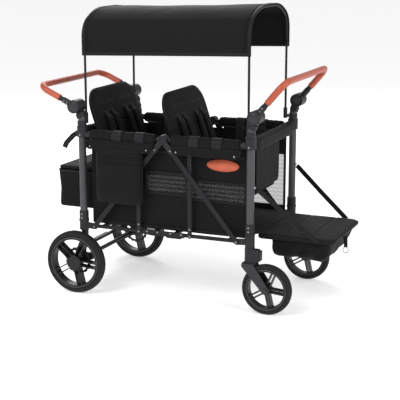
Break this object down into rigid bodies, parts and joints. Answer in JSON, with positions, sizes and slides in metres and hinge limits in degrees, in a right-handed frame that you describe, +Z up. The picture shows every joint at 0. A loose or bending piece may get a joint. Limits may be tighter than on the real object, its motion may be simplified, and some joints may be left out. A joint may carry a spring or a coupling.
{
  "type": "stroller wagon",
  "caption": "Folding stroller wagon with padded seats in a fabric tub, arched canopy on poles, tilting push handles, foot flap, swivel casters and large fixed rear wheels.",
  "frame": {"origin": "middle of the overall footprint, on the ground", "axes": "+X forward towards the swivel wheels and foot flap, +Z up, -Y the wagon's right side"},
  "size_m": [1.3135, 0.6602, 1.2407],
  "materials": {
    "frame_metal": "satin powder coat",
    "black_plastic": "moulded, fine texture",
    "button_plastic": "moulded",
    "steel": "zinc plated",
    "rim_plastic": "moulded, satin",
    "tyre": "matt foamed rubber",
    "oxford_fabric": "woven polyester",
    "seat_fabric": "woven polyester, padded",
    "webbing": "ribbed webbing",
    "tan_leather": "smooth leather look"
  },
  "bodies": {
    "chassis": {"rear_posts": "frame_metal", "front_posts": "frame_metal", "post_collars": "black_plastic", "corner_brackets": "black_plastic", "top_rails": "frame_metal", "lower_side_rails": "frame_metal", "rail_centre_plates": "frame_metal", "side_diagonals": "frame_metal", "apex_hubs": "black_plastic", "side_uprights": "frame_metal", "frame_rivets": "steel", "floor_cross_tubes": "frame_metal", "rear_legs": "black_plastic", "rear_axle": "steel", "handle_hub_bases": "black_plastic", "caster_housings": "black_plastic", "canopy_sockets": "black_plastic", "side_rail_pads": "oxford_fabric", "end_rail_pads": "oxford_fabric", "tub_sides": "oxford_fabric", "tub_rear_wall": "oxford_fabric", "tub_floor": "oxford_fabric", "side_pockets": "oxford_fabric", "side_badge": "tan_leather", "rear_bag": "oxford_fabric", "front_pouch": "oxford_fabric", "seat_straps": "webbing", "rear_seat_base": "seat_fabric", "front_seat_base": "seat_fabric", "flap_straps": "webbing"},
    "rear_handle": {"rear_handle_tube": "frame_metal", "rear_handle_grip": "tan_leather", "rear_handle_hubs": "black_plastic"},
    "rear_hub_button_right": {"rear_hub_button_right": "button_plastic"},
    "rear_hub_button_left": {"rear_hub_button_left": "button_plastic"},
    "front_handle": {"front_handle_tube": "frame_metal", "front_handle_grip": "tan_leather", "front_handle_hubs": "black_plastic"},
    "front_hub_button_right": {"front_hub_button_right": "button_plastic"},
    "front_hub_button_left": {"front_hub_button_left": "button_plastic"},
    "rear_wheel_right": {"rear_tyre_right": "tyre", "rear_rim_right": "rim_plastic"},
    "caster_right": {"caster_fork_right": "black_plastic"},
    "front_wheel_right": {"front_tyre_right": "tyre", "front_rim_right": "rim_plastic"},
    "caster_lock_right": {"caster_lock_right": "black_plastic"},
    "rear_wheel_left": {"rear_tyre_left": "tyre", "rear_rim_left": "rim_plastic"},
    "caster_left": {"caster_fork_left": "black_plastic"},
    "front_wheel_left": {"front_tyre_left": "tyre", "front_rim_left": "rim_plastic"},
    "caster_lock_left": {"caster_lock_left": "black_plastic"},
    "brake": {"brake_bar": "black_plastic"},
    "canopy": {"canopy_cover": "oxford_fabric", "canopy_hoops": "frame_metal"},
    "rear_seat": {"rear_seat_back": "seat_fabric"},
    "front_seat": {"front_seat_back": "seat_fabric"},
    "flap": {"flap_panel": "oxford_fabric", "flap_pouch": "oxford_fabric"},
    "bag_lid": {"rear_bag_lid": "oxford_fabric"}
  },
  "joints": [
    {"name": "rear_handle_tilt", "type": "hinge", "parent": "chassis", "child": "rear_handle", "pos_m": [-0.47024, 0, 0.812], "axis": [0, 1, 0], "range_deg": [-76.4, 59.6]},
    {"name": "rear_hub_button_right_press", "type": "slide", "parent": "chassis", "child": "rear_hub_button_right", "axis": [0, -1, 0], "range_m": [0, 0.004], "stiffness_N_per_m": 800},
    {"name": "rear_hub_button_left_press", "type": "slide", "parent": "chassis", "child": "rear_hub_button_left", "axis": [0, 1, 0], "range_m": [0, 0.004], "stiffness_N_per_m": 800},
    {"name": "front_handle_tilt", "type": "hinge", "parent": "chassis", "child": "front_handle", "pos_m": [0.33576, 0, 0.812], "axis": [0, -1, 0], "range_deg": [-101.6, 34.4]},
    {"name": "front_hub_button_right_press", "type": "slide", "parent": "chassis", "child": "front_hub_button_right", "axis": [0, -1, 0], "range_m": [0, 0.004], "stiffness_N_per_m": 800},
    {"name": "front_hub_button_left_press", "type": "slide", "parent": "chassis", "child": "front_hub_button_left", "axis": [0, 1, 0], "range_m": [0, 0.004], "stiffness_N_per_m": 800},
    {"name": "rear_wheel_right_spin", "type": "hinge", "parent": "chassis", "child": "rear_wheel_right", "pos_m": [-0.47224, -0.304, 0.137], "axis": [0, 1, 0], "continuous": true},
    {"name": "caster_right_swivel", "type": "hinge", "parent": "chassis", "child": "caster_right", "pos_m": [0.31376, -0.268, 0.213], "axis": [0, 0, 1], "continuous": true},
    {"name": "front_wheel_right_spin", "type": "hinge", "parent": "caster_right", "child": "front_wheel_right", "pos_m": [0.38976, -0.268, 0.106], "axis": [0, 1, 0], "continuous": true},
    {"name": "caster_lock_right_flip", "type": "hinge", "parent": "chassis", "child": "caster_lock_right", "pos_m": [0.36006, -0.268, 0.262], "axis": [0, -1, 0], "range_deg": [0, 40]},
    {"name": "rear_wheel_left_spin", "type": "hinge", "parent": "chassis", "child": "rear_wheel_left", "pos_m": [-0.47224, 0.304, 0.137], "axis": [0, 1, 0], "continuous": true},
    {"name": "caster_left_swivel", "type": "hinge", "parent": "chassis", "child": "caster_left", "pos_m": [0.31376, 0.268, 0.213], "axis": [0, 0, 1], "continuous": true},
    {"name": "front_wheel_left_spin", "type": "hinge", "parent": "caster_left", "child": "front_wheel_left", "pos_m": [0.38976, 0.268, 0.106], "axis": [0, 1, 0], "continuous": true},
    {"name": "caster_lock_left_flip", "type": "hinge", "parent": "chassis", "child": "caster_lock_left", "pos_m": [0.36006, 0.268, 0.262], "axis": [0, -1, 0], "range_deg": [0, 40]},
    {"name": "brake_press", "type": "hinge", "parent": "chassis", "child": "brake", "pos_m": [-0.47224, 0, 0.137], "axis": [0, -1, 0], "range_deg": [0, 20]},
    {"name": "canopy_lift", "type": "slide", "parent": "chassis", "child": "canopy", "axis": [0, 0, 1], "range_m": [0, 0.12]},
    {"name": "rear_seat_fold", "type": "hinge", "parent": "chassis", "child": "rear_seat", "pos_m": [-0.32324, 0, 0.4744], "axis": [0, 1, 0], "range_deg": [0, 34]},
    {"name": "front_seat_fold", "type": "hinge", "parent": "chassis", "child": "front_seat", "pos_m": [0.01976, 0, 0.4744], "axis": [0, 1, 0], "range_deg": [0, 52]},
    {"name": "flap_close", "type": "hinge", "parent": "chassis", "child": "flap", "pos_m": [0.31676, 0, 0.308], "axis": [0, -1, 0], "range_deg": [0, 90], "deforming": ["flap_straps"]},
    {"name": "bag_lid_open", "type": "hinge", "parent": "chassis", "child": "bag_lid", "pos_m": [-0.49274, 0, 0.5384], "axis": [0, 1, 0], "range_deg": [0, 85]}
  ]
}
